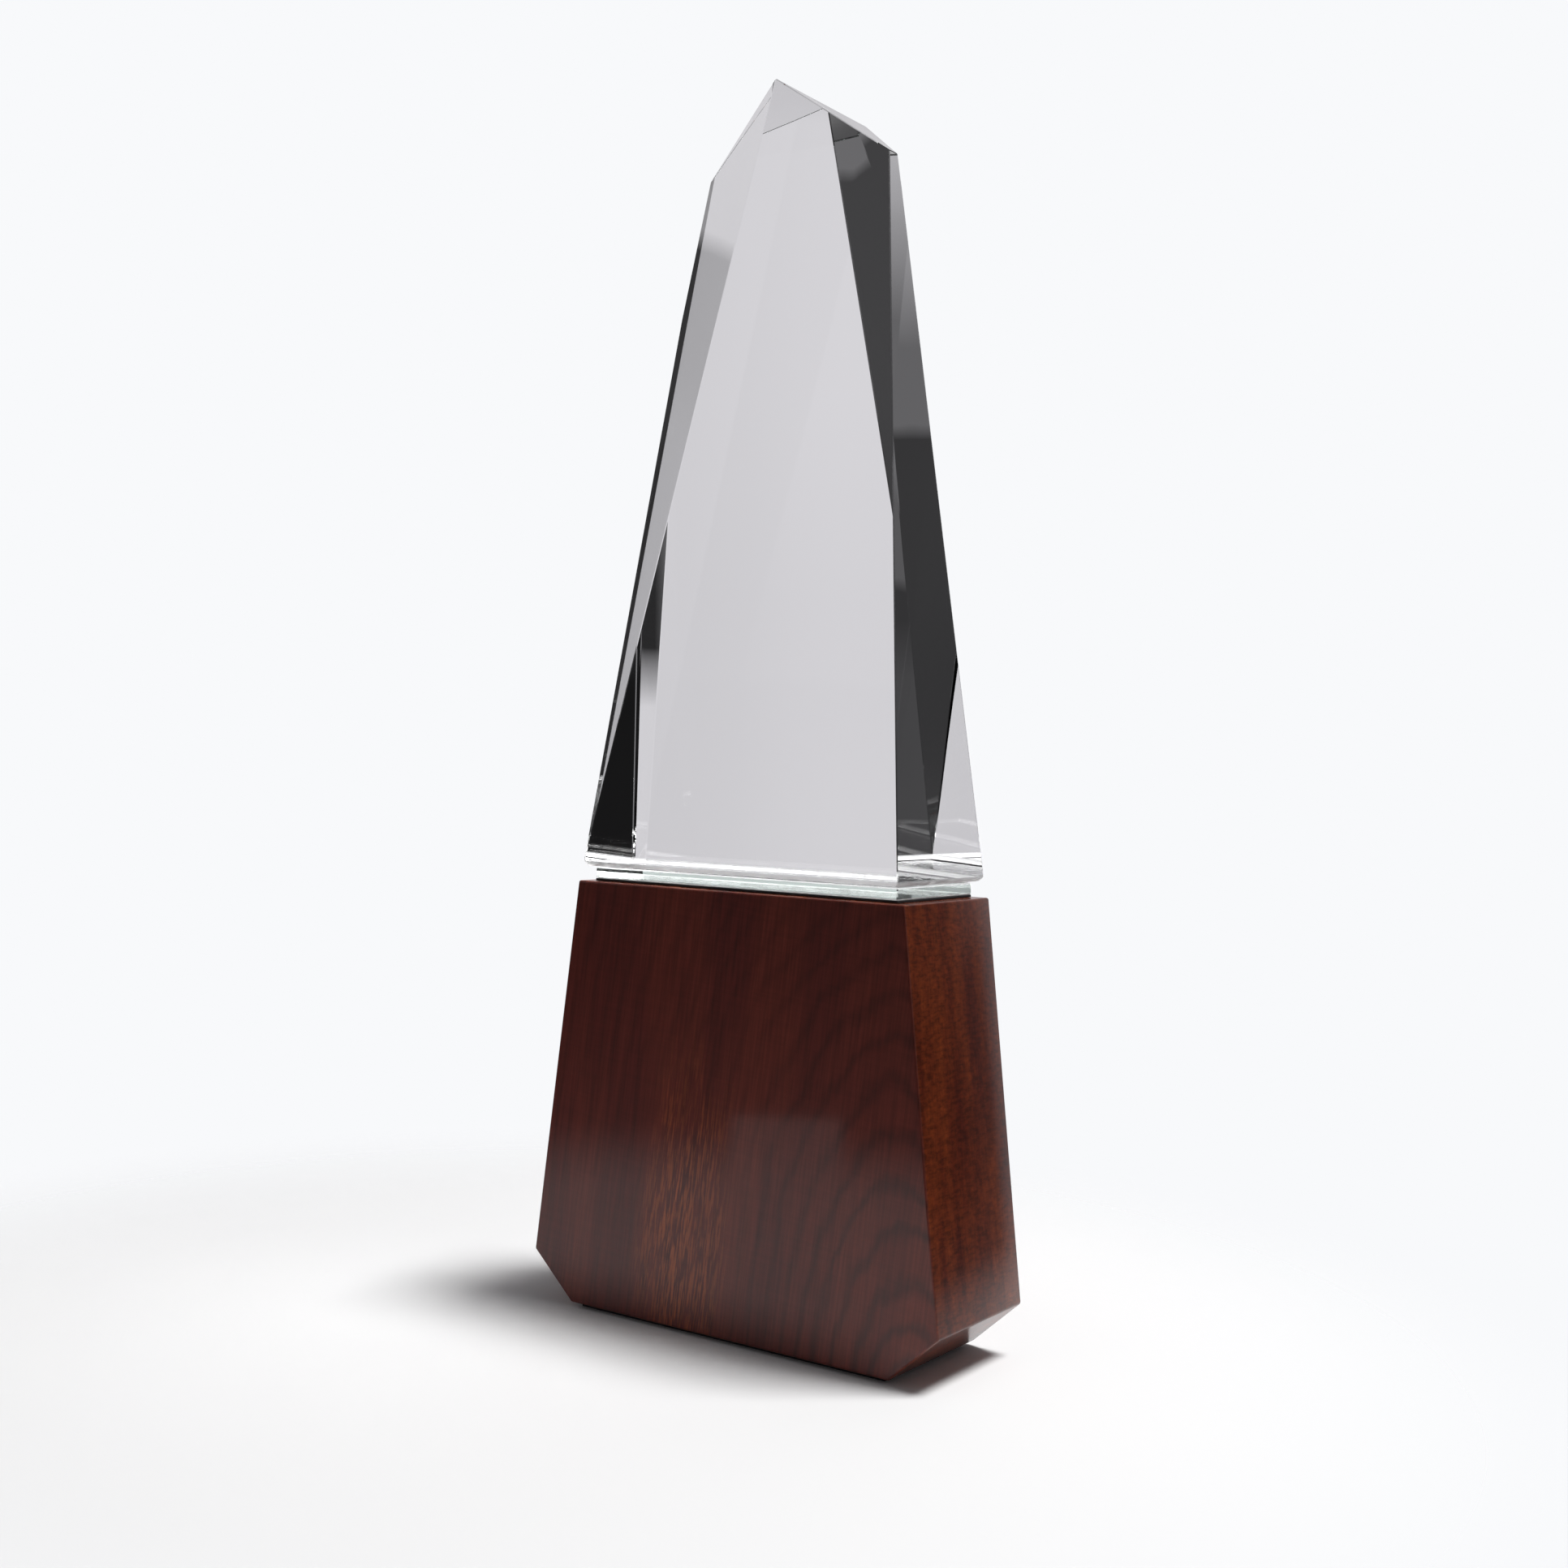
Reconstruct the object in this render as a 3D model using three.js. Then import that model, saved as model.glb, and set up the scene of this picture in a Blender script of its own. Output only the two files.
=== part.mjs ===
// A crystal award: a faceted glass obelisk bonded to a clear riser plate, which is taped
// to a hexagonal hardwood block that stands on a felt pad.
// Millimetres. +Z is up, -Y is the front, and the origin is the centre of the underside.

import * as THREE from 'three';
import { ConvexGeometry } from 'three/addons/geometries/ConvexGeometry.js';

// Base: a felt pad under one solid block, widest a little above its foot.
const feltThickness = 1.0;
const feltInset = 2.0;
const blockTop = 106.7;
const blockThickness = 38.2;
const blockTopWidth = 95.5;
const blockWidest = 118.7;
const blockWidestHeight = 12.4;
const blockFootWidth = 93.6;

// Stack between the block and the crystal.
const riserWidth = 88.6;
const riserDepth = 33.1;
const tapeThickness = 0.6;
const riserThickness = 2.7;
const filmThickness = 0.25;
const filmInset = 0.6;
const bondGap = 0.05;

// Crystal: its foot is a rectangle with one corner cut, and its highest point is on the front.
const crystalWidth = 92.2;
const crystalDepth = 39.0;
const apexOffset = 6.9;
const apexHeight = 295.9;
const rightShoulderInset = 7.4;
const rightShoulderHeight = 274.2;
const leftKneeInset = 3.8;
const leftKneeSetback = 10.1;
const leftKneeHeight = 251.3;
const leftShoulderInset = 7.2;
const leftShoulderSetback = 4.6;
const leftShoulderHeight = 287.3;
const cutCornerSetback = 3.0;
const cutCornerInset = 7.1;
const cutCornerHeight = 192.0;
const bevelHeadDrop = 4.3;
const bevelHeadSetback = 4.4;
const bevelTurn = THREE.MathUtils.degToRad(52.4);
const creaseHeadOffset = -4.4;
const creaseHeadHeight = 284.6;
const creaseSetback = 1.5;

// Heights of the stack, each piece a hair above the one that carries it.
const tapeBottom = blockTop + bondGap;
const riserBottom = tapeBottom + tapeThickness + bondGap;
const filmBottom = riserBottom + riserThickness + bondGap;
const crystalBottom = filmBottom + filmThickness + bondGap;

const award = new THREE.Group();

function addPiece(name, geometry, color, roughness) {
  const material = new THREE.MeshStandardMaterial({ color, roughness, metalness: 0 });
  const mesh = new THREE.Mesh(geometry, material);
  mesh.name = name;
  award.add(mesh);
  return mesh;
}

// Felt pad: it follows the block's foot, set in from the edges.
const felt = addPiece(
  'base_felt_pad',
  new THREE.BoxGeometry(blockFootWidth - 2 * feltInset, blockThickness - 2 * feltInset, feltThickness),
  0x17171a,
  0.95,
);
felt.position.z = feltThickness / 2;

// Block: the hexagonal outline is drawn in X and Z and pushed back through the thickness.
const blockBottom = feltThickness + bondGap;
const blockOutline = new THREE.Shape([
  new THREE.Vector2(-blockFootWidth / 2, blockBottom),
  new THREE.Vector2(blockFootWidth / 2, blockBottom),
  new THREE.Vector2(blockWidest / 2, blockWidestHeight),
  new THREE.Vector2(blockTopWidth / 2, blockTop),
  new THREE.Vector2(-blockTopWidth / 2, blockTop),
  new THREE.Vector2(-blockWidest / 2, blockWidestHeight),
]);
const blockGeometry = new THREE.ExtrudeGeometry(blockOutline, {
  depth: blockThickness,
  bevelEnabled: false,
});
blockGeometry.translate(0, 0, -blockThickness / 2);
blockGeometry.rotateX(Math.PI / 2);
addPiece('wood_base_block', blockGeometry, 0x5b2219, 0.35);

// Black double-sided tape, the clear riser plate, and the clear film that bonds the crystal to it.
const tape = addPiece(
  'riser_mounting_tape',
  new THREE.BoxGeometry(riserWidth, riserDepth, tapeThickness),
  0x101012,
  0.7,
);
tape.position.z = tapeBottom + tapeThickness / 2;

const riser = addPiece(
  'glass_riser_plate',
  new THREE.BoxGeometry(riserWidth, riserDepth, riserThickness),
  0xd3e6dd,
  0.03,
);
riser.position.z = riserBottom + riserThickness / 2;

const film = addPiece(
  'crystal_bond_film',
  new THREE.BoxGeometry(riserWidth - 2 * filmInset, riserDepth - 2 * filmInset, filmThickness),
  0xe9f0ee,
  0.08,
);
film.position.z = filmBottom + filmThickness / 2;

// Crystal corners: the four of the foot, the apex, the shoulders, the knee where the left
// face ends, the head of the back right bevel, and the head of the shallow crease in the back.
const halfWidth = crystalWidth / 2;
const halfDepth = crystalDepth / 2;
const frontLeft = new THREE.Vector3(-halfWidth, -halfDepth, crystalBottom);
const frontRight = new THREE.Vector3(halfWidth, -halfDepth, crystalBottom);
const backRight = new THREE.Vector3(halfWidth, halfDepth, crystalBottom);
const backLeft = new THREE.Vector3(-halfWidth, halfDepth, crystalBottom);
const apex = new THREE.Vector3(apexOffset, -halfDepth, apexHeight);
const rightShoulder = new THREE.Vector3(
  halfWidth - rightShoulderInset,
  -halfDepth,
  rightShoulderHeight,
);
const leftKnee = new THREE.Vector3(
  leftKneeInset - halfWidth,
  halfDepth - leftKneeSetback,
  leftKneeHeight,
);
const leftShoulder = new THREE.Vector3(
  leftShoulderInset - halfWidth,
  halfDepth - leftShoulderSetback,
  leftShoulderHeight,
);
const cutCornerFoot = new THREE.Vector3(-halfWidth, halfDepth - cutCornerSetback, crystalBottom);
const cutCornerBack = new THREE.Vector3(cutCornerInset - halfWidth, halfDepth, cutCornerHeight);
const bevelHead = rightShoulder.clone().lerp(
  frontRight,
  bevelHeadDrop / (rightShoulderHeight - crystalBottom),
);
bevelHead.y += bevelHeadSetback;
const creaseHead = new THREE.Vector3(creaseHeadOffset, halfDepth, creaseHeadHeight);
const creaseSide = new THREE.Vector3(
  leftKneeInset - halfWidth,
  halfDepth - creaseSetback,
  creaseHeadHeight,
);

// Each face is a plane through three corners, or through two and along a direction.
const core = new THREE.Vector3(0, 0, (crystalBottom + apexHeight) / 2);
const acrossTop = new THREE.Vector3(0, 1, 0);
const alongBevel = new THREE.Vector3(Math.cos(bevelTurn), -Math.sin(bevelTurn), 0);

function faceThrough(a, b, c) {
  const plane = new THREE.Plane().setFromCoplanarPoints(a, b, c);
  return plane.distanceToPoint(core) > 0 ? plane.negate() : plane;
}

const crystalFaces = {
  foot: faceThrough(frontLeft, frontRight, backRight),
  front: faceThrough(frontLeft, frontRight, apex),
  right: faceThrough(frontRight, backRight, rightShoulder),
  left: faceThrough(frontLeft, cutCornerFoot, leftKnee),
  frontLeftBevel: faceThrough(frontLeft, apex, leftKnee),
  backLeftBevel: faceThrough(cutCornerFoot, cutCornerBack, leftKnee),
  back: faceThrough(backLeft, backRight, creaseHead),
  backLeftFacet: faceThrough(backLeft, creaseHead, creaseSide),
  backRightBevel: faceThrough(backRight, bevelHead, backRight.clone().add(alongBevel)),
  rightRoof: faceThrough(apex, rightShoulder, apex.clone().add(acrossTop)),
  leftRoof: faceThrough(apex, leftShoulder, apex.clone().add(acrossTop)),
};

// Where three planes meet, or null when they have no single point in common.
function meetingPoint(p, q, r) {
  const qr = q.normal.clone().cross(r.normal);
  const rp = r.normal.clone().cross(p.normal);
  const pq = p.normal.clone().cross(q.normal);
  const volume = p.normal.dot(qr);
  if (Math.abs(volume) < 1e-6) return null;
  const sum = qr.multiplyScalar(p.constant);
  sum.addScaledVector(rp, q.constant);
  sum.addScaledVector(pq, r.constant);
  return sum.multiplyScalar(-1 / volume);
}

// The corners of the solid inside all the faces, each kept once.
function solidCorners(planes) {
  const corners = [];
  for (let i = 0; i < planes.length; i += 1) {
    for (let j = i + 1; j < planes.length; j += 1) {
      for (let k = j + 1; k < planes.length; k += 1) {
        const point = meetingPoint(planes[i], planes[j], planes[k]);
        const inside = point && planes.every((plane) => plane.distanceToPoint(point) < 1e-4);
        const known = inside && corners.some((corner) => corner.distanceTo(point) < 1e-2);
        if (inside && !known) corners.push(point);
      }
    }
  }
  return corners;
}

const crystalCorners = solidCorners(Object.values(crystalFaces));
addPiece('crystal_obelisk', new ConvexGeometry(crystalCorners), 0xe6eceb, 0.02);

export default award;
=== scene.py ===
# A crystal award: a faceted crystal obelisk on a clear riser plate, on a hexagonal hardwood block.
# Metres, +Z up, and -Y is the front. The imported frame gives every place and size.

import math

import bmesh
import bpy
from mathutils import Matrix, Vector


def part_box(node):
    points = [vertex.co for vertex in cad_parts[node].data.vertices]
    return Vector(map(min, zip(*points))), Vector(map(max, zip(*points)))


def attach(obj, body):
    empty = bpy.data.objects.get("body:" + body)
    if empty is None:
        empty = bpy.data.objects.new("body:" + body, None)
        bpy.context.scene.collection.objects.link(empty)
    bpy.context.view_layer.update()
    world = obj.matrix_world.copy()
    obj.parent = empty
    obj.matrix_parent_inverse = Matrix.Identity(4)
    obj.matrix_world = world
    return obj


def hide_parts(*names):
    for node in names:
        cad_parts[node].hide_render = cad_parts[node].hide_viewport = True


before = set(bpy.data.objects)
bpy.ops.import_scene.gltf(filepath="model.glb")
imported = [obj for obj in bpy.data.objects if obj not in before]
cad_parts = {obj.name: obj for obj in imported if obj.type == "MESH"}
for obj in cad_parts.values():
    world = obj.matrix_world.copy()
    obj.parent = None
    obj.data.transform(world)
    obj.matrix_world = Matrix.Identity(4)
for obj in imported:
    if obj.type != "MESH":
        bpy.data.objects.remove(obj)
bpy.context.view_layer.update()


# ---------------------------------------------------------------------------------------------
# Felt pad. Black needle-felt about 1 mm thick, die-cut a little smaller than the block's foot
# and stuck under it, so that it shows only as a dark line along the floor.

def linear(hex_colour):
    """An sRGB hex colour as linear red, green, blue and alpha."""
    channels = [int(hex_colour[i:i + 2], 16) / 255 for i in (1, 3, 5)]
    return [c / 12.92 if c <= 0.04045 else ((c + 0.055) / 1.055) ** 2.4 for c in channels] + [1.0]


def add_node(tree, kind, settings=None, inputs=None):
    """Adds a node, sets its properties, and fills each input with a value or a link."""
    node = tree.nodes.new(kind)
    for name, value in (settings or {}).items():
        setattr(node, name, value)
    for name, value in (inputs or {}).items():
        if isinstance(value, bpy.types.NodeSocket):
            tree.links.new(value, node.inputs[name])
        else:
            node.inputs[name].default_value = value
    return node


def new_material(name):
    """An empty material and its node tree."""
    material = bpy.data.materials.new(name)
    material.use_nodes = True
    material.node_tree.nodes.clear()
    return material, material.node_tree


SAME_POINT = 1e-6                   # metres: points closer than this are one point
SAME_LEVEL = 1e-5                   # metres: points this near the lowest are in the foot
SAME_PLANE = math.radians(0.2)      # triangles turned less than this make one flat face


def eased_copy(name, node, arris, segments, foot_chamfer=0.0):
    """A copy of a CAD node's mesh with its sharp edges eased, as a new object."""
    work = bmesh.new()
    work.from_mesh(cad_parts[node].data)
    bmesh.ops.remove_doubles(work, verts=work.verts, dist=SAME_POINT)
    bmesh.ops.dissolve_limit(work, angle_limit=SAME_PLANE, verts=work.verts, edges=work.edges)
    if foot_chamfer:
        foot = min(v.co.z for v in work.verts) + SAME_LEVEL
        rim = [e for e in work.edges if all(v.co.z < foot for v in e.verts)]
        bmesh.ops.bevel(
            work, geom=rim, offset=foot_chamfer, offset_type="OFFSET", segments=1,
            affect="EDGES", clamp_overlap=True,
        )
    bmesh.ops.bevel(
        work, geom=work.edges[:], offset=arris, offset_type="OFFSET", segments=segments,
        profile=0.5, affect="EDGES", clamp_overlap=True,
    )
    bmesh.ops.triangulate(work, faces=[f for f in work.faces if len(f.verts) > 4])
    mesh = bpy.data.meshes.new(name)
    work.to_mesh(mesh)
    work.free()
    piece = bpy.data.objects.new(name, mesh)
    bpy.context.scene.collection.objects.link(piece)
    return piece


# Matt wool fibres matted together: near black, with a soft uneven nap and no gloss.
FELT_FIBRE = 0.0004         # metres between fibre clumps
FELT_ARRIS = 0.00015        # metres: the die-cut edge, slightly crushed

felt_material, felt_tree = new_material("black_needle_felt")
felt_place = add_node(felt_tree, "ShaderNodeTexCoord").outputs["Object"]
felt_nap = add_node(felt_tree, "ShaderNodeTexNoise", {}, {
    "Vector": felt_place,
    "Scale": 1 / FELT_FIBRE,
    "Detail": 3.0,
    "Roughness": 0.7,
    "Distortion": 0.8,
}).outputs["Fac"]
felt_colour = add_node(felt_tree, "ShaderNodeMix", {"data_type": "RGBA"}, {
    "Factor": felt_nap,
    "A": linear("#0f0f11"),
    "B": linear("#232326"),
}).outputs["Result"]
felt_bump = add_node(felt_tree, "ShaderNodeBump", {}, {
    "Height": felt_nap,
    "Strength": 0.6,
    "Distance": 0.0001,
}).outputs[0]
felt_shader = add_node(felt_tree, "ShaderNodeBsdfPrincipled", inputs={
    "Base Color": felt_colour,
    "Roughness": 0.95,
    "Specular IOR Level": 0.1,
    "Sheen Weight": 0.2,
    "Normal": felt_bump,
})
add_node(felt_tree, "ShaderNodeOutputMaterial", inputs={"Surface": felt_shader.outputs[0]})

felt_pad = eased_copy("felt_pad", "base_felt_pad", FELT_ARRIS, 1)
felt_pad.data.materials.append(felt_material)
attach(felt_pad, "root")
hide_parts("base_felt_pad")


# ---------------------------------------------------------------------------------------------
# Wood block. One solid piece of a red-brown tropical hardwood, plain-sawn on its broad faces,
# cut to a hexagon, sanded and finished in a clear lacquer rubbed to a soft gloss.
# Its arrises are eased to about half a millimetre.

# Lacquered hardwood: dark red-brown, fine leaning fibres, soft growth arcs about the lower right
# corner, a patch of open orange pores low on the left, and a tight curl across its edges.
WOOD_ARRIS = 0.0005                     # metres
RING_SPACING = 4.8                      # mm between growth rings, measured across the face
RING_HEART = (51.0, 0.0, -6.0)          # mm: the point that the arcs bend around
RING_ARCH = 0.50                        # an arc's width over its height
RING_DEPTH = 1.6                        # mm that a ring moves per mm of thickness
RING_WANDER = 11.0                      # mm that the slow noise moves a ring
RING_RIPPLE = 3.2                       # mm that the quick noise moves it
GRAIN_LEAN = math.radians(6)            # how far the fibres lean from upright
PORE_PATCH = (-14.0, 0.0, 24.0)         # mm: middle of the patch of open pores
PORE_PATCH_REACH = (13.0, 60.0, 44.0)   # mm: its half sizes
PORE_PATCH_RAGGED = 1.1                 # how far noise moves the patch's edge, in half sizes

wood_material, wood = new_material("lacquered_red_hardwood")
# Places on the board in millimetres, and the same turned to run with the fibres.
board = add_node(wood, "ShaderNodeMapping", {}, {
    "Vector": add_node(wood, "ShaderNodeTexCoord").outputs["Object"],
    "Scale": (1000, 1000, 1000),
}).outputs[0]
grain = add_node(wood, "ShaderNodeMapping", {}, {
    "Vector": board,
    "Rotation": (0, -GRAIN_LEAN, 0),
}).outputs[0]

# Noise at several sizes: how wide, deep and long each mark is in mm, its detail and roughness.
WOOD_NOISES = {
    "wander": ((30, 34, 60), 2.0, 0.5),
    "ripple": ((5, 6, 11), 2.0, 0.5),
    "ribbon": ((9, 5.5, 110), 3.0, 0.5),
    "fibre": ((0.55, 0.7, 18), 2.0, 0.6),
    "dash": ((0.5, 0.7, 7), 2.0, 0.6),
    "curl": ((20, 2.6, 0.8), 3.0, 0.65),
    "patch": ((9, 12, 26), 2.0, 0.5),
}
noise = {}
for mark, (size, detail, roughness) in WOOD_NOISES.items():
    mark_place = add_node(wood, "ShaderNodeMapping", {}, {
        "Vector": grain,
        "Scale": [1 / s for s in size],
    }).outputs[0]
    noise[mark] = add_node(wood, "ShaderNodeTexNoise", {}, {
        "Vector": mark_place,
        "Scale": 1.0,
        "Detail": detail,
        "Roughness": roughness,
    }).outputs["Fac"]

# Growth rings: the distance from the heart, bent by the depth, the wander and the ripple.
from_heart = add_node(wood, "ShaderNodeVectorMath", {"operation": "SUBTRACT"}, {
    0: board,
    1: RING_HEART,
}).outputs[0]
flattened = add_node(wood, "ShaderNodeVectorMath", {"operation": "MULTIPLY"}, {
    0: from_heart,
    1: (1.0, 0.0, RING_ARCH),
}).outputs[0]
reach = add_node(wood, "ShaderNodeVectorMath", {"operation": "LENGTH"}, {
    0: flattened,
}).outputs["Value"]
depth = add_node(wood, "ShaderNodeSeparateXYZ", {}, {0: board}).outputs["Y"]
bent = reach
for amount, source in (
    (RING_DEPTH, depth), (RING_WANDER, noise["wander"]), (RING_RIPPLE, noise["ripple"]),
):
    bent = add_node(wood, "ShaderNodeMath", {"operation": "MULTIPLY_ADD"}, {
        0: source,
        1: amount,
        2: bent,
    }).outputs[0]
ring_count = add_node(wood, "ShaderNodeMath", {"operation": "DIVIDE"}, {
    0: bent,
    1: RING_SPACING,
}).outputs[0]
ring_phase = add_node(wood, "ShaderNodeMath", {"operation": "PINGPONG"}, {
    0: ring_count,
    1: 0.5,
}).outputs[0]
latewood = add_node(wood, "ShaderNodeMapRange", {"interpolation_type": "SMOOTHSTEP"}, {
    "Value": ring_phase,
    "From Min": 0.18,
    "From Max": 0.5,
}).outputs[0]

# The arcs are plain near the heart and fade into straight grain away from it.
ring_strength = add_node(wood, "ShaderNodeMapRange", {}, {
    "Value": reach,
    "From Min": 18.0,
    "From Max": 62.0,
    "To Min": 0.52,
    "To Max": 0.18,
}).outputs[0]

# The two broad faces are plain-sawn; the narrow sides and slopes show the curl.
facing = add_node(wood, "ShaderNodeSeparateXYZ", {}, {
    0: add_node(wood, "ShaderNodeNewGeometry").outputs["True Normal"],
}).outputs["Y"]
broad = add_node(wood, "ShaderNodeMapRange", {}, {
    "Value": add_node(wood, "ShaderNodeMath", {"operation": "ABSOLUTE"}, {0: facing}).outputs[0],
    "From Min": 0.55,
    "From Max": 0.8,
}).outputs[0]
on_sides = add_node(wood, "ShaderNodeMapRange", {}, {
    "Value": broad,
    "To Min": 0.25,
    "To Max": 1.0,
}).outputs[0]
for weaker in (ring_strength, on_sides):
    latewood = add_node(wood, "ShaderNodeMath", {"operation": "MULTIPLY"}, {
        0: latewood,
        1: weaker,
    }).outputs[0]

# The ground colour: ribbons of two browns, redder on the broad faces, under dark latewood. The
# narrow sides and slopes take a more orange copy, partly for their cut and partly as painted sheen
# where light falls on them more.
earlywood = add_node(wood, "ShaderNodeMapRange", {}, {
    "Value": noise["ribbon"],
    "From Min": 0.34,
    "From Max": 0.66,
}).outputs[0]
broad_colour = add_node(wood, "ShaderNodeMix", {"data_type": "RGBA"}, {
    "Factor": earlywood,
    "A": linear("#58211b"),
    "B": linear("#6a2b20"),
}).outputs["Result"]
# Painted sheen: these browns are more orange than the broad faces', partly for the cut and partly
# standing in for the stronger light on the sides.
side_colour_and_sheen = add_node(wood, "ShaderNodeMix", {"data_type": "RGBA"}, {
    "Factor": earlywood,
    "A": linear("#49180b"),
    "B": linear("#6a2d12"),
}).outputs["Result"]
colour = add_node(wood, "ShaderNodeMix", {"data_type": "RGBA"}, {
    "Factor": broad,
    "A": side_colour_and_sheen,
    "B": broad_colour,
}).outputs["Result"]
colour = add_node(wood, "ShaderNodeMix", {"data_type": "RGBA"}, {
    "Factor": latewood,
    "A": colour,
    "B": linear("#2c0f0d"),
}).outputs["Result"]

# Open pores with orange filler: short wavering strokes inside the patch.
from_patch = add_node(wood, "ShaderNodeVectorMath", {"operation": "SUBTRACT"}, {
    0: grain,
    1: PORE_PATCH,
}).outputs[0]
across_patch = add_node(wood, "ShaderNodeVectorMath", {"operation": "DIVIDE"}, {
    0: from_patch,
    1: PORE_PATCH_REACH,
}).outputs[0]
patch_edge = add_node(wood, "ShaderNodeMath", {"operation": "MULTIPLY_ADD"}, {
    0: noise["patch"],
    1: PORE_PATCH_RAGGED,
    2: add_node(wood, "ShaderNodeVectorMath", {"operation": "LENGTH"}, {
        0: across_patch,
    }).outputs["Value"],
}).outputs[0]
in_patch = add_node(wood, "ShaderNodeMapRange", {"interpolation_type": "SMOOTHSTEP"}, {
    "Value": patch_edge,
    "From Min": 1.75,
    "From Max": 0.85,
}).outputs[0]
stroke = add_node(wood, "ShaderNodeMapRange", {}, {
    "Value": noise["dash"],
    "From Min": 0.47,
    "From Max": 0.60,
}).outputs[0]
filled_pores = add_node(wood, "ShaderNodeMath", {"operation": "MULTIPLY"}, {
    0: in_patch,
    1: stroke,
}).outputs[0]
filled_pores = add_node(wood, "ShaderNodeMath", {"operation": "MULTIPLY"}, {
    0: filled_pores,
    1: broad,
}).outputs[0]
colour = add_node(wood, "ShaderNodeMix", {"data_type": "RGBA"}, {
    "Factor": filled_pores,
    "A": colour,
    "B": linear("#9d4f2b"),
}).outputs["Result"]

# Fine light and dark fibres all over, and the curl on the narrow sides.
fibre_shade = add_node(wood, "ShaderNodeMapRange", {}, {
    "Value": noise["fibre"],
    "From Min": 0.3,
    "From Max": 0.7,
    "To Min": 0.78,
    "To Max": 1.20,
}).outputs[0]
curl_depth = add_node(wood, "ShaderNodeMapRange", {}, {
    "Value": broad,
    "To Min": 1.0,
    "To Max": 0.15,
}).outputs[0]
curl_shade = add_node(wood, "ShaderNodeMapRange", {}, {
    "Value": noise["curl"],
    "From Min": 0.34,
    "From Max": 0.66,
    "To Min": -0.38,
    "To Max": 0.38,
}).outputs[0]
curl_shade = add_node(wood, "ShaderNodeMath", {"operation": "MULTIPLY_ADD"}, {
    0: curl_shade,
    1: curl_depth,
    2: 1.0,
}).outputs[0]
shade = add_node(wood, "ShaderNodeMath", {"operation": "MULTIPLY"}, {
    0: fibre_shade,
    1: curl_shade,
}).outputs[0]
colour = add_node(wood, "ShaderNodeVectorMath", {"operation": "SCALE"}, {
    0: colour,
    "Scale": shade,
}).outputs[0]
pore_bump = add_node(wood, "ShaderNodeBump", {}, {
    "Height": noise["fibre"],
    "Strength": 0.05,
    "Distance": 0.0001,
}).outputs[0]
wood_shader = add_node(wood, "ShaderNodeBsdfPrincipled", inputs={
    "Base Color": colour,
    "Roughness": 0.45,
    "Specular IOR Level": 0.15,
    "Coat Weight": 0.6,
    "Coat Roughness": 0.06,
    "Coat IOR": 1.5,
    "Normal": pore_bump,
})
add_node(wood, "ShaderNodeOutputMaterial", inputs={"Surface": wood_shader.outputs[0]})

wood_block = eased_copy("wood_block", "wood_base_block", WOOD_ARRIS, 3)
wood_block.data.materials.append(wood_material)
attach(wood_block, "root")
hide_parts("wood_base_block")


# ---------------------------------------------------------------------------------------------
# Mounting tape. Black double-sided foam tape 0.6 mm thick, cut to the riser plate's size.
# It holds the plate to the lacquered top of the block and shows as a thin black line.

# Closed-cell foam: matt black with a faint pebbled cut edge.
FOAM_CELL = 0.0002          # metres across one cell
TAPE_ARRIS = 0.0001         # metres

tape_material, tape_tree = new_material("black_foam_tape")
tape_cells = add_node(tape_tree, "ShaderNodeTexVoronoi", {}, {
    "Vector": add_node(tape_tree, "ShaderNodeTexCoord").outputs["Object"],
    "Scale": 1 / FOAM_CELL,
}).outputs["Distance"]
tape_colour = add_node(tape_tree, "ShaderNodeMix", {"data_type": "RGBA"}, {
    "Factor": tape_cells,
    "A": linear("#0b0b0c"),
    "B": linear("#1a1a1c"),
}).outputs["Result"]
tape_bump = add_node(tape_tree, "ShaderNodeBump", {}, {
    "Height": tape_cells,
    "Strength": 0.4,
    "Distance": 0.00005,
}).outputs[0]
tape_shader = add_node(tape_tree, "ShaderNodeBsdfPrincipled", inputs={
    "Base Color": tape_colour,
    "Roughness": 0.75,
    "Normal": tape_bump,
})
add_node(tape_tree, "ShaderNodeOutputMaterial", inputs={"Surface": tape_shader.outputs[0]})

mounting_tape = eased_copy("mounting_tape", "riser_mounting_tape", TAPE_ARRIS, 1)
mounting_tape.data.materials.append(tape_material)
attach(mounting_tape, "root")
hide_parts("riser_mounting_tape")


# ---------------------------------------------------------------------------------------------
# Riser plate. Clear float glass 2.7 mm thick with ground and polished edges, faintly green
# because one looks along it. The tape holds it down, and the crystal is bonded on its top.

# Float glass: clear and smooth, with a slight green cast. Its underside lies on the tape's
# clear glue, which wetted it in flow marks, so light is turned about there in pale waves.
GLASS_IOR = 1.52
RISER_ARRIS = 0.00025                       # metres
FLOW_MARK = (0.013, 0.0032, 0.025)          # metres along, across and down one flow mark
FLOW_TURN = math.radians(28)                # from the award's width to the flow marks

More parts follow.
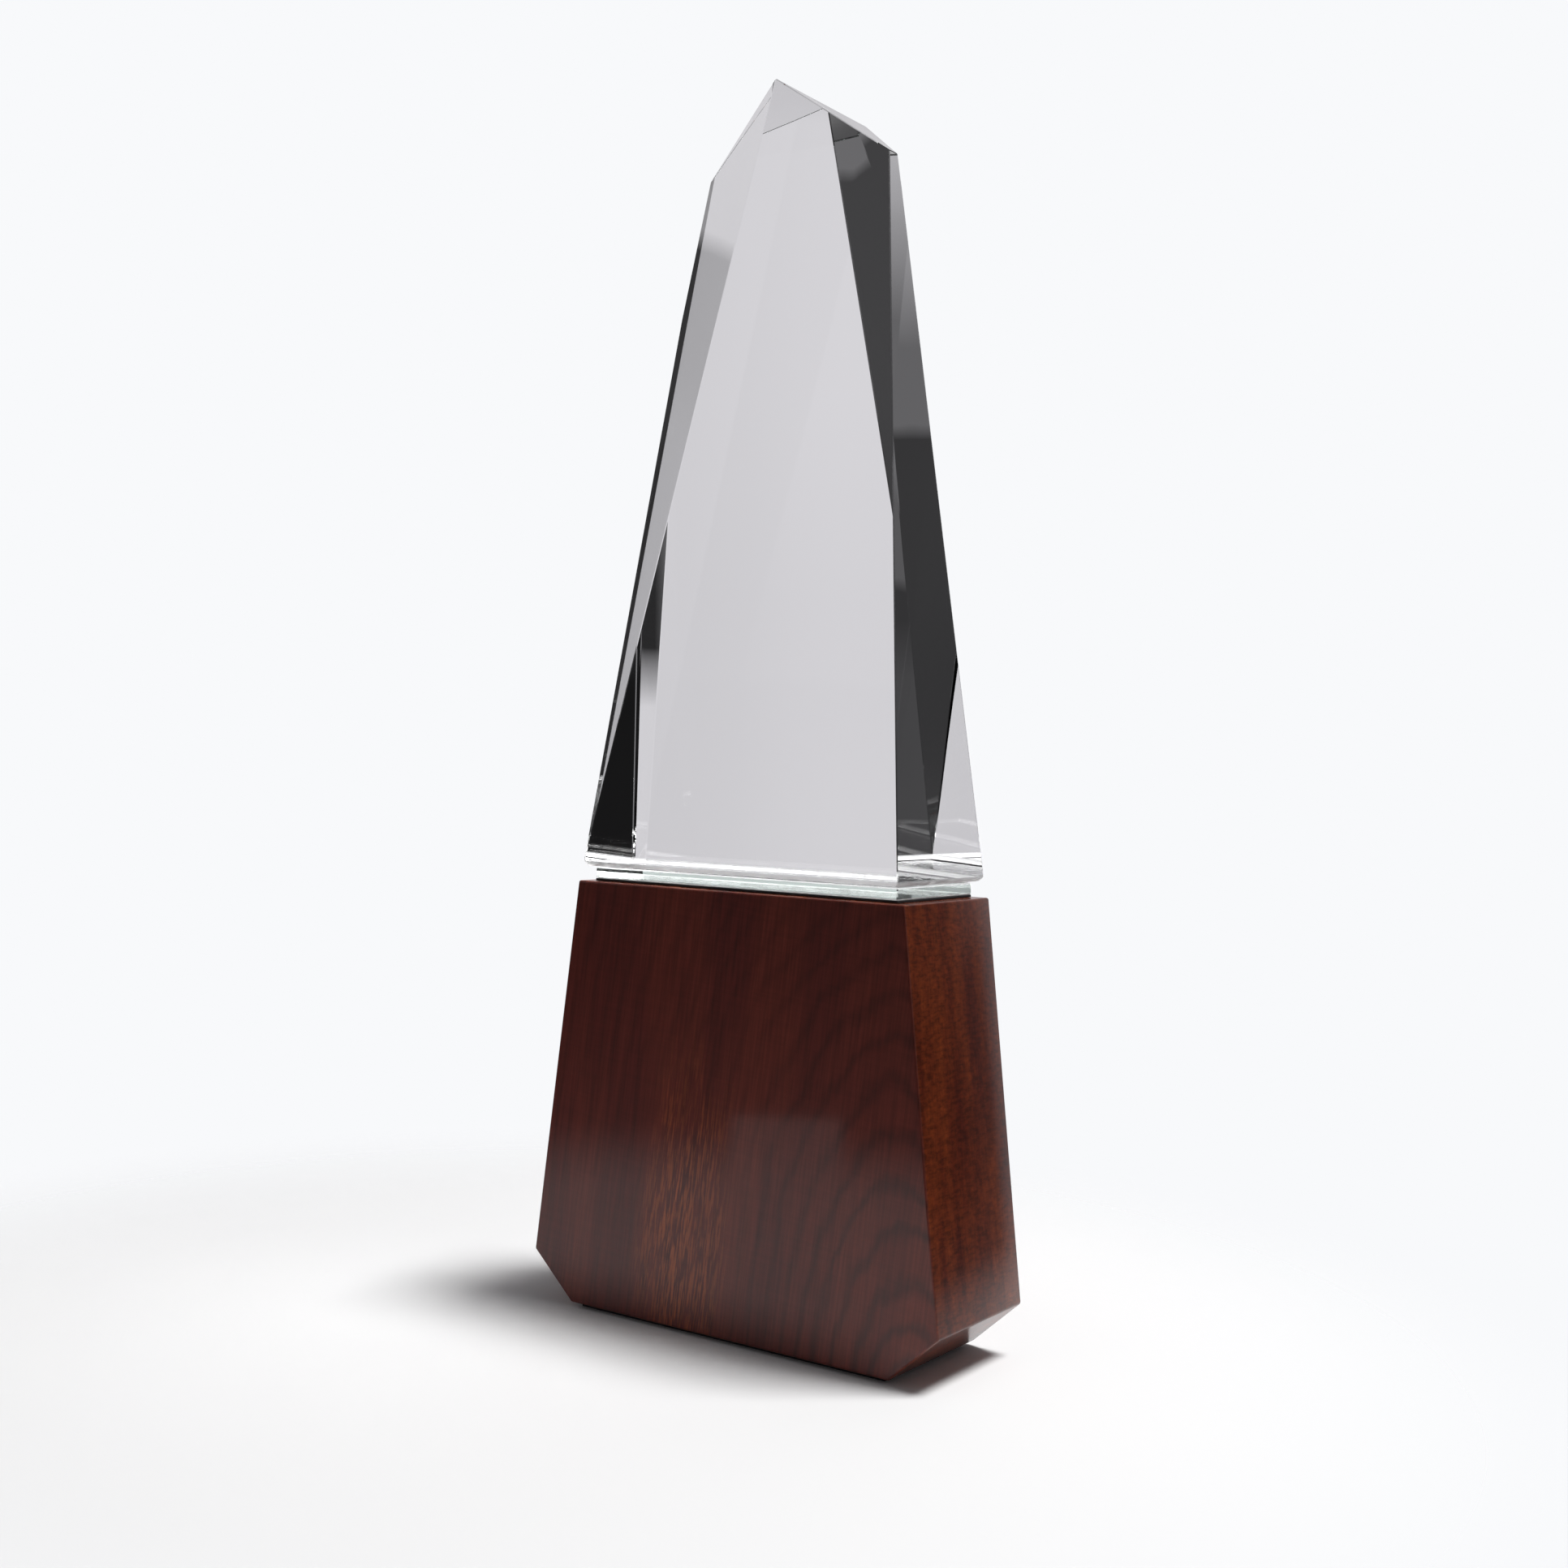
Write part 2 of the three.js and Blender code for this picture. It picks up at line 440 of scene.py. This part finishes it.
# Each glass surface and the height of its waves in metres.
RISER_SURFACES = (("clear_float_glass", 0.00002), ("glass_wetted_by_glue", 0.00112))
riser_materials = []
for name, wave_height in RISER_SURFACES:
    riser_material, riser_tree = new_material(name)
    riser_flow = add_node(riser_tree, "ShaderNodeMapping", {}, {
        "Vector": add_node(riser_tree, "ShaderNodeTexCoord").outputs["Object"],
        "Rotation": (0, 0, FLOW_TURN),
        "Scale": [1 / size for size in FLOW_MARK],
    }).outputs[0]
    riser_wave = add_node(riser_tree, "ShaderNodeTexNoise", {}, {
        "Vector": riser_flow,
        "Scale": 1.0,
        "Detail": 2.5,
        "Distortion": 1.8,
    }).outputs["Fac"]
    riser_bump = add_node(riser_tree, "ShaderNodeBump", {}, {
        "Height": riser_wave,
        "Strength": 1.0,
        "Distance": wave_height,
    }).outputs[0]
    riser_shader = add_node(riser_tree, "ShaderNodeBsdfPrincipled", inputs={
        "Base Color": linear("#e9f6f0"),
        "Roughness": 0.0,
        "IOR": GLASS_IOR,
        "Transmission Weight": 1.0,
        "Normal": riser_bump,
    })
    add_node(riser_tree, "ShaderNodeOutputMaterial", inputs={"Surface": riser_shader.outputs[0]})
    riser_materials.append(riser_material)

# Where glass is bonded to glass there is no air, so light goes straight through the joint.
bonded_material, bonded_tree = new_material("bonded_glass_joint")
bonded_shader = add_node(bonded_tree, "ShaderNodeBsdfPrincipled", inputs={
    "Base Color": linear("#fbfdfc"),
    "Roughness": 0.0,
    "IOR": GLASS_IOR,
    "Alpha": 0.0,
})
add_node(bonded_tree, "ShaderNodeOutputMaterial", inputs={"Surface": bonded_shader.outputs[0]})

# The arrises are stoned by hand, which leaves them frosted: they scatter light and look white.
# The grit's marks are too fine to show, so the frost is drawn as patches a millimetre across.
FROST_PATCH = 0.0012        # metres across a patch

ground_material, ground_tree = new_material("ground_glass_arris")
ground_grit = add_node(ground_tree, "ShaderNodeTexNoise", {}, {
    "Vector": add_node(ground_tree, "ShaderNodeTexCoord").outputs["Object"],
    "Scale": 1 / FROST_PATCH,
    "Detail": 3.0,
}).outputs["Fac"]
ground_roughness = add_node(ground_tree, "ShaderNodeMapRange", {}, {
    "Value": ground_grit,
    "From Min": 0.35,
    "From Max": 0.65,
    "To Min": 0.35,
    "To Max": 0.75,
}).outputs[0]
ground_shader = add_node(ground_tree, "ShaderNodeBsdfPrincipled", inputs={
    "Base Color": linear("#fdfefe"),
    "Roughness": ground_roughness,
    "IOR": GLASS_IOR,
    "Transmission Weight": 0.6,
})
add_node(ground_tree, "ShaderNodeOutputMaterial", inputs={"Surface": ground_shader.outputs[0]})

# Its edges stay clear, its underside is wetted, its top is bonded and its arrises are ground.
LEVEL_FACE = 0.99           # how upright the normal of a level face is
SLOPING_FACE = 0.3          # and that of a sloping arris

riser_plate = eased_copy("riser_plate", "glass_riser_plate", RISER_ARRIS, 1)
for material in (*riser_materials, bonded_material, ground_material):
    riser_plate.data.materials.append(material)
for face in riser_plate.data.polygons:
    if face.normal.z < -LEVEL_FACE:
        face.material_index = 1
    elif face.normal.z > LEVEL_FACE:
        face.material_index = 2
    elif abs(face.normal.z) > SLOPING_FACE:
        face.material_index = 3
riser_plate.visible_shadow = False      # clear, so it throws no shadow
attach(riser_plate, "root")
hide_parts("glass_riser_plate")


# ---------------------------------------------------------------------------------------------
# Bond film. A clear adhesive a quarter of a millimetre thick, hardened by light between the
# crystal's foot and the riser plate. It flowed as the crystal was pressed down, so its skins
# are full of ripples that catch the light along the joint.

FILM_GRID = (170, 80)       # mesh points along and across the film, about half a millimetre apart
FILM_RIPPLES = {"Length": 0.011, "Width": 0.0034, "Depth": 0.00021}     # metres
FILM_FLOW_TURN = math.radians(24)

film_low, film_high = (Vector(corner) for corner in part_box("crystal_bond_film"))

film_tree = bpy.data.node_groups.new("rippled_adhesive", "GeometryNodeTree")
film_sockets = {}
for label, kind in (
    ("Geometry", "NodeSocketGeometry"), ("Size", "NodeSocketVector"),
    ("Centre", "NodeSocketVector"), ("Ripple Length", "NodeSocketFloat"),
    ("Ripple Width", "NodeSocketFloat"), ("Ripple Depth", "NodeSocketFloat"),
    ("Flow Turn", "NodeSocketFloat"), ("Material", "NodeSocketMaterial"),
):
    film_sockets[label] = film_tree.interface.new_socket(label, in_out="INPUT", socket_type=kind)
film_tree.interface.new_socket("Geometry", in_out="OUTPUT", socket_type="NodeSocketGeometry")
film_in = add_node(film_tree, "NodeGroupInput").outputs
sheet = add_node(film_tree, "GeometryNodeMeshCube", {}, {
    "Size": film_in["Size"],
    "Vertices X": FILM_GRID[0],
    "Vertices Y": FILM_GRID[1],
    "Vertices Z": 2,
}).outputs["Mesh"]
turned = add_node(film_tree, "ShaderNodeVectorRotate", {"rotation_type": "Z_AXIS"}, {
    "Vector": add_node(film_tree, "GeometryNodeInputPosition").outputs[0],
    "Angle": film_in["Flow Turn"],
}).outputs[0]
flow_parts = add_node(film_tree, "ShaderNodeSeparateXYZ", {}, {0: turned}).outputs
skin = add_node(film_tree, "ShaderNodeMath", {"operation": "SIGN"}, {
    0: flow_parts["Z"],
}).outputs[0]
flow_place = add_node(film_tree, "ShaderNodeCombineXYZ", {}, {
    "X": add_node(film_tree, "ShaderNodeMath", {"operation": "DIVIDE"}, {
        0: flow_parts["X"], 1: film_in["Ripple Length"],
    }).outputs[0],
    "Y": add_node(film_tree, "ShaderNodeMath", {"operation": "DIVIDE"}, {
        0: flow_parts["Y"], 1: film_in["Ripple Width"],
    }).outputs[0],
    "Z": skin,
}).outputs[0]
ripples = add_node(film_tree, "ShaderNodeTexNoise", {}, {
    "Vector": flow_place,
    "Scale": 1.0,
    "Detail": 2.0,
    "Distortion": 1.4,
}).outputs["Fac"]

# Each skin sinks into the film, never out of it.
sink = add_node(film_tree, "ShaderNodeMath", {"operation": "MULTIPLY"}, {
    0: add_node(film_tree, "ShaderNodeMath", {"operation": "MULTIPLY"}, {
        0: ripples, 1: film_in["Ripple Depth"],
    }).outputs[0],
    1: add_node(film_tree, "ShaderNodeMath", {"operation": "MULTIPLY"}, {
        0: skin, 1: -1.0,
    }).outputs[0],
}).outputs[0]
moved = add_node(film_tree, "ShaderNodeVectorMath", {"operation": "ADD"}, {
    0: film_in["Centre"],
    1: add_node(film_tree, "ShaderNodeCombineXYZ", {}, {"Z": sink}).outputs[0],
}).outputs[0]
rippled = add_node(film_tree, "GeometryNodeSetPosition", {}, {
    "Geometry": sheet,
    "Offset": moved,
}).outputs[0]
realised = add_node(film_tree, "GeometryNodeRealizeInstances", {}, {
    "Geometry": rippled,
}).outputs[0]
film_done = add_node(film_tree, "GeometryNodeSetMaterial", {}, {
    "Geometry": realised,
    "Material": film_in["Material"],
}).outputs[0]
add_node(film_tree, "NodeGroupOutput", inputs={"Geometry": film_done})

# Hardened clear adhesive: water-clear. A real one's index is close to the glass it joins, and it
# is set lower here, so that the ripples show.
film_material, film_shading = new_material("hardened_clear_adhesive")
film_shader = add_node(film_shading, "ShaderNodeBsdfPrincipled", inputs={
    "Base Color": linear("#fafdfc"),
    "Roughness": 0.02,
    "IOR": 1.3,
    "Transmission Weight": 1.0,
})
add_node(film_shading, "ShaderNodeOutputMaterial", inputs={"Surface": film_shader.outputs[0]})

film_maker = bpy.data.objects.new("film_maker", bpy.data.meshes.new("film_maker"))
bpy.context.scene.collection.objects.link(film_maker)
film_modifier = film_maker.modifiers.new("ripples", "NODES")
film_modifier.node_group = film_tree
for label, value in {
    "Size": film_high - film_low,
    "Centre": (film_high + film_low) / 2,
    "Ripple Length": FILM_RIPPLES["Length"],
    "Ripple Width": FILM_RIPPLES["Width"],
    "Ripple Depth": FILM_RIPPLES["Depth"],
    "Flow Turn": FILM_FLOW_TURN,
    "Material": film_material,
}.items():
    film_modifier[film_sockets[label].identifier] = value
film_mesh = bpy.data.meshes.new_from_object(
    film_maker.evaluated_get(bpy.context.evaluated_depsgraph_get()),
)
film_mesh.name = "bond_film"
for face in film_mesh.polygons:
    face.use_smooth = abs(face.normal.z) > 0.5
bpy.data.objects.remove(film_maker)
bond_film = bpy.data.objects.new("bond_film", film_mesh)
bpy.context.scene.collection.objects.link(bond_film)
bond_film.visible_shadow = False        # clear, so it throws no shadow
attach(bond_film, "root")
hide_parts("crystal_bond_film")


# ---------------------------------------------------------------------------------------------
# Crystal. A tall obelisk of optical crystal, sawn from a block, ground flat on a wheel facet by
# facet and polished. The chamfer round its foot is left ground, and other arrises are just eased.

# Polished optical crystal: water-clear and colourless, with the faintest waviness of hand
# polishing. The real waves are under a micron deep, so they are drawn deeper than they are.
CRYSTAL_IOR = 1.52
CRYSTAL_ARRIS = 0.0003      # metres
FOOT_CHAMFER = 0.0010       # metres
POLISH_WAVE = 0.018         # metres from one wave to the next

crystal_material, crystal_tree = new_material("polished_optical_crystal")
polish = add_node(crystal_tree, "ShaderNodeTexNoise", {}, {
    "Vector": add_node(crystal_tree, "ShaderNodeTexCoord").outputs["Object"],
    "Scale": 1 / POLISH_WAVE,
    "Detail": 0.0,
}).outputs["Fac"]
polish_bump = add_node(crystal_tree, "ShaderNodeBump", {}, {
    "Height": polish,
    "Strength": 0.5,
    "Distance": 0.00004,
}).outputs[0]
crystal_shader = add_node(crystal_tree, "ShaderNodeBsdfPrincipled", inputs={
    "Base Color": linear("#fefeff"),
    "Roughness": 0.0,
    "IOR": CRYSTAL_IOR,
    "Transmission Weight": 1.0,
    "Normal": polish_bump,
})
add_node(crystal_tree, "ShaderNodeOutputMaterial", inputs={"Surface": crystal_shader.outputs[0]})

# Its foot is bonded to the film, and whatever else faces downwards is the ground chamfer.
DOWNWARD_FACE = 0.1         # how far down the normal of such a face points

crystal = eased_copy(
    "crystal", "crystal_obelisk", CRYSTAL_ARRIS, 1, foot_chamfer=FOOT_CHAMFER,
)
for material in (crystal_material, bonded_material, ground_material):
    crystal.data.materials.append(material)
for face in crystal.data.polygons:
    if face.normal.z < -LEVEL_FACE:
        face.material_index = 1
    elif face.normal.z < -DOWNWARD_FACE:
        face.material_index = 2
crystal.visible_shadow = False          # clear, so it throws no shadow
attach(crystal, "root")
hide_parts("crystal_obelisk")


# ---------------------------------------------------------------------------------------------
# Floor. The top of a small white table, matt and plain. It ends softly a short way beyond the
# award, so that the lacquer reflects it only low down, as on a table.

FLOOR_MIDDLE = (-0.035, -0.03, 0.0)
FLOOR_RADIUS = 0.25         # metres to where it has faded out
FLOOR_SOLID_RADIUS = 0.12   # metres to where it starts to fade

floor_mesh = bpy.data.meshes.new("floor")
floor_work = bmesh.new()
bmesh.ops.create_circle(
    floor_work, cap_ends=True, segments=96, radius=FLOOR_RADIUS,
    matrix=Matrix.Translation(FLOOR_MIDDLE),
)
floor_work.to_mesh(floor_mesh)
floor_work.free()
floor = bpy.data.objects.new("floor", floor_mesh)
bpy.context.scene.collection.objects.link(floor)

# White laminate: matt, and with no gloss of its own.
floor_material, floor_tree = new_material("white_table_top")
floor_shader = add_node(floor_tree, "ShaderNodeBsdfPrincipled", inputs={
    "Base Color": linear("#f7f7f7"),
    "Roughness": 0.9,
    "Specular IOR Level": 0.0,
})
floor_distance = add_node(floor_tree, "ShaderNodeVectorMath", {"operation": "DISTANCE"}, {
    0: add_node(floor_tree, "ShaderNodeTexCoord").outputs["Object"],
    1: FLOOR_MIDDLE,
}).outputs["Value"]
floor_fade = add_node(floor_tree, "ShaderNodeMapRange", {"interpolation_type": "SMOOTHSTEP"}, {
    "Value": floor_distance,
    "From Min": FLOOR_SOLID_RADIUS,
    "From Max": FLOOR_RADIUS,
}).outputs[0]
floor_mix = add_node(floor_tree, "ShaderNodeMixShader", {}, {
    0: floor_fade,
    1: floor_shader.outputs[0],
    2: add_node(floor_tree, "ShaderNodeBsdfTransparent").outputs[0],
})
add_node(floor_tree, "ShaderNodeOutputMaterial", inputs={"Surface": floor_mix.outputs[0]})
floor_mesh.materials.append(floor_material)


# ---------------------------------------------------------------------------------------------
# Room. Crystal looks like what it bends and mirrors, so the room matters more than the lamps:
# a pale backdrop behind the award, a light strip on its left, a grey one on its right, and the
# rest dark.

# Each band of the room, from below upwards: the elevations in degrees over which it takes over
# from the band beneath, and its brightness at bearings clockwise from +Y, in degrees. The
# lowest band has none beneath, so its elevations aren't used.
ROOM_BANDS = (
    (0, 0, ((-180, 0.03), (-62, 0.05), (-50, 0.62), (0, 0.60), (40, 0.05), (180, 0.03))),
    (-26, -20, (
        (-180, 0.03), (-149, 0.07), (-135, 0.035), (-60, 0.03), (-51, 0.63), (-37.4, 0.66),
        (-34.4, 0.70), (-16, 0.70), (-4.5, 0.70), (-2.6, 0.66), (12, 0.62), (20, 0.006),
        (60, 0.006), (84, 0.20), (104, 0.20), (114, 0.015), (180, 0.03),
    )),
    (-0.4, 1.4, (
        (-180, 0.04), (-60, 0.03), (-51, 0.63), (-37.4, 0.66), (-34.4, 0.70), (-16, 0.70),
        (-7.0, 0.66), (-6.2, 0.015), (-3.2, 0.015), (-2.4, 0.61), (12, 0.61), (20, 0.008),
        (60, 0.008), (84, 0.3), (110, 0.3), (118, 0.03), (180, 0.04),
    )),
    (2.2, 2.6, (
        (-180, 0.05), (-128, 0.14), (-76, 0.12), (-70, 0.03), (-58, 0.03), (-51, 0.63),
        (-37.4, 0.66), (-34.4, 0.70), (-16, 0.70), (-7.0, 0.66), (-6.2, 0.015), (-3.2, 0.015),
        (-2.4, 0.61), (12, 0.61), (20, 0.008), (60, 0.008), (84, 0.3), (110, 0.3),
        (118, 0.03), (180, 0.05),
    )),
    (4.8, 11.0, (
        (-180, 0.10), (-128, 0.58), (-84, 0.58), (-76, 0.04), (-58, 0.04), (-51, 0.63),
        (-37.4, 0.66), (-34.4, 0.70), (-16, 0.70), (12, 0.66), (30, 0.05), (60, 0.05),
        (84, 0.3), (120, 0.2), (180, 0.1),
    )),
    (18.7, 19.3, (
        (-180, 0.05), (-84, 0.1), (-72, 0.66), (-16, 0.66), (12, 0.62), (40, 0.1), (180, 0.05),
    )),
    (27, 36, ((-180, 0.10), (180, 0.10))),
)
ROOM_CAST = (1.0, 0.985, 1.02)      # the grey's slight lean to violet, as red, green and blue
BACKDROP_SEEN = "#f8f9fb"           # what the camera sees behind the award

world = bpy.data.worlds.new("studio")
bpy.context.scene.world = world
world.use_nodes = True
room = world.node_tree
room.nodes.clear()
outward = add_node(room, "ShaderNodeSeparateXYZ", {}, {
    0: add_node(room, "ShaderNodeTexCoord").outputs["Generated"],
}).outputs
bearing_part = add_node(room, "ShaderNodeMapRange", {}, {
    "Value": add_node(room, "ShaderNodeMath", {"operation": "ARCTAN2"}, {
        0: outward["X"], 1: outward["Y"],
    }).outputs[0],
    "From Min": -math.pi,
    "From Max": math.pi,
}).outputs[0]
room_colour = None
for starts, full, levels in ROOM_BANDS:
    ramp = add_node(room, "ShaderNodeValToRGB", {}, {"Fac": bearing_part})
    stops = ramp.color_ramp.elements
    while len(stops) < len(levels):
        stops.new(1.0)
    for stop, (bearing, level) in zip(stops, levels):
        stop.position = (bearing + 180) / 360
        stop.color = [level * cast for cast in ROOM_CAST] + [1]
    if room_colour is None:
        room_colour = ramp.outputs[0]
        continue
    above = add_node(room, "ShaderNodeMapRange", {}, {
        "Value": outward["Z"],
        "From Min": math.sin(math.radians(starts)),
        "From Max": math.sin(math.radians(full)),
    }).outputs[0]
    room_colour = add_node(room, "ShaderNodeMix", {"data_type": "RGBA"}, {
        "Factor": above,
        "A": room_colour,
        "B": ramp.outputs[0],
    }).outputs["Result"]
background_colour = add_node(room, "ShaderNodeMix", {"data_type": "RGBA"}, {
    "Factor": add_node(room, "ShaderNodeLightPath").outputs["Is Camera Ray"],
    "A": room_colour,
    "B": linear(BACKDROP_SEEN),
}).outputs["Result"]
background = add_node(room, "ShaderNodeBackground", inputs={"Color": background_colour})
add_node(room, "ShaderNodeOutputWorld", inputs={"Surface": background.outputs[0]})
bpy.context.scene.view_settings.view_transform = "Standard"


# ---------------------------------------------------------------------------------------------
# Lamps. A large soft box high on the right and a little behind gives the short soft shadow,
# and a small card, low in front and past the table's edge, is a faint patch in the lacquer.

# Name, bearing clockwise from +Y and elevation in degrees, distance, width, height, watts.
LAMPS = (
    ("key_soft_box", 64, 69, 1.5, 0.46, 0.46, 24.0),
    ("low_card", -147.9, -18.0, 0.53, 0.055, 0.05, 0.005),
)
LAMP_AIM = Vector((0, 0, 0.1))      # just under the top of the block, which both lamps face

for name, bearing, elevation, distance, width, height, watts in LAMPS:
    lamp_data = bpy.data.lights.new(name, "AREA")
    lamp_data.shape = "RECTANGLE"
    lamp_data.size, lamp_data.size_y = width, height
    lamp_data.energy = watts
    lamp = bpy.data.objects.new(name, lamp_data)
    bpy.context.scene.collection.objects.link(lamp)
    around, up = math.radians(bearing), math.radians(elevation)
    level = math.cos(up)
    out = Vector((math.sin(around) * level, math.cos(around) * level, math.sin(up)))
    lamp.location = LAMP_AIM + out * distance
    lamp.rotation_euler = out.to_track_quat("Z", "Y").to_euler()
    lamp.visible_camera = False


# ---------------------------------------------------------------------------------------------
# Camera. A normal lens on a full-frame body, a little above the foot of the crystal and well to
# the right of the front, so that the front face and the right side both show.

CAMERA_PLACE = (0.26507, -0.37337, 0.13773)
CAMERA_BEARING, CAMERA_TILT, CAMERA_ROLL = (math.radians(a) for a in (35.29, -0.69, 1.53))
SENSOR_WIDTH, LENS_LENGTH = 36.0, 43.2      # millimetres

camera_data = bpy.data.cameras.new("camera")
camera_data.sensor_width = SENSOR_WIDTH
camera_data.lens = LENS_LENGTH
camera_data.clip_start = 0.01
camera = bpy.data.objects.new("camera", camera_data)
bpy.context.scene.collection.objects.link(camera)
camera.matrix_world = (
    Matrix.Translation(CAMERA_PLACE)
    @ Matrix.Rotation(CAMERA_BEARING, 4, "Z")
    @ Matrix.Rotation(math.pi / 2 + CAMERA_TILT, 4, "X")
    @ Matrix.Rotation(CAMERA_ROLL, 4, "Z")
)
bpy.context.scene.camera = camera
